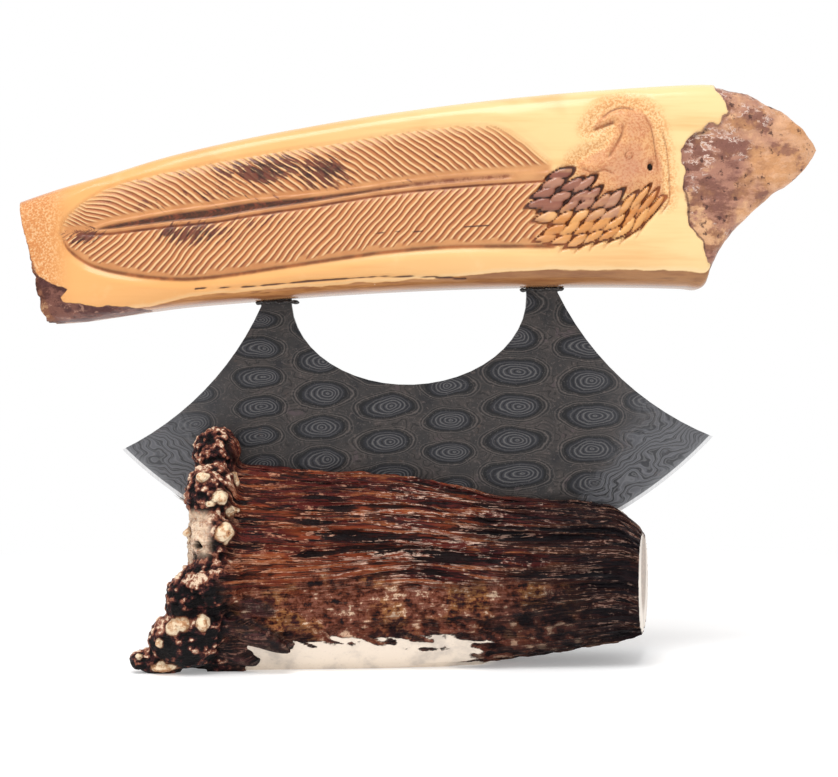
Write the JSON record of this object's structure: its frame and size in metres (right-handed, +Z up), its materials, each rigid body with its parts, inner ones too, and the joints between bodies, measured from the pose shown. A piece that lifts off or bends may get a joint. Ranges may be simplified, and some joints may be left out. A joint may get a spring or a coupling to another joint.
{
  "type": "ulu knife with antler stand",
  "caption": "Crescent ulu knife with a carved tusk handle, standing in a saw kerf along a shed antler.",
  "frame": {"origin": "on the floor, at the flat base of the stand, in the mid-plane of the blade and 1 mm to the right of the lowest point of the cutting edge", "axes": "+X along the handle towards its pointed right end, +Y away from the carved face, +Z up"},
  "size_m": [0.2033, 0.0652, 0.1475],
  "materials": {
    "tusk_ivory": "polished honey-coloured fossil tusk with brown bark at its ends, carved on one face",
    "etched_steel": "pattern-welded steel etched dark, with a bright ground edge",
    "set_resin": "dark set resin, slightly glossy",
    "antler": "dark brown ridged antler bark, bone-white where sawn or sanded"
  },
  "bodies": {
    "stand": {"antler_stand": "antler"},
    "knife": {"handle": "tusk_ivory", "blade": "etched_steel", "left_tang_bedding": "set_resin", "right_tang_bedding": "set_resin"}
  },
  "joints": [
    {"name": "knife_lift", "type": "slide", "parent": "stand", "child": "knife", "axis": [0, 0, 1], "range_m": [0, 0.04]}
  ]
}
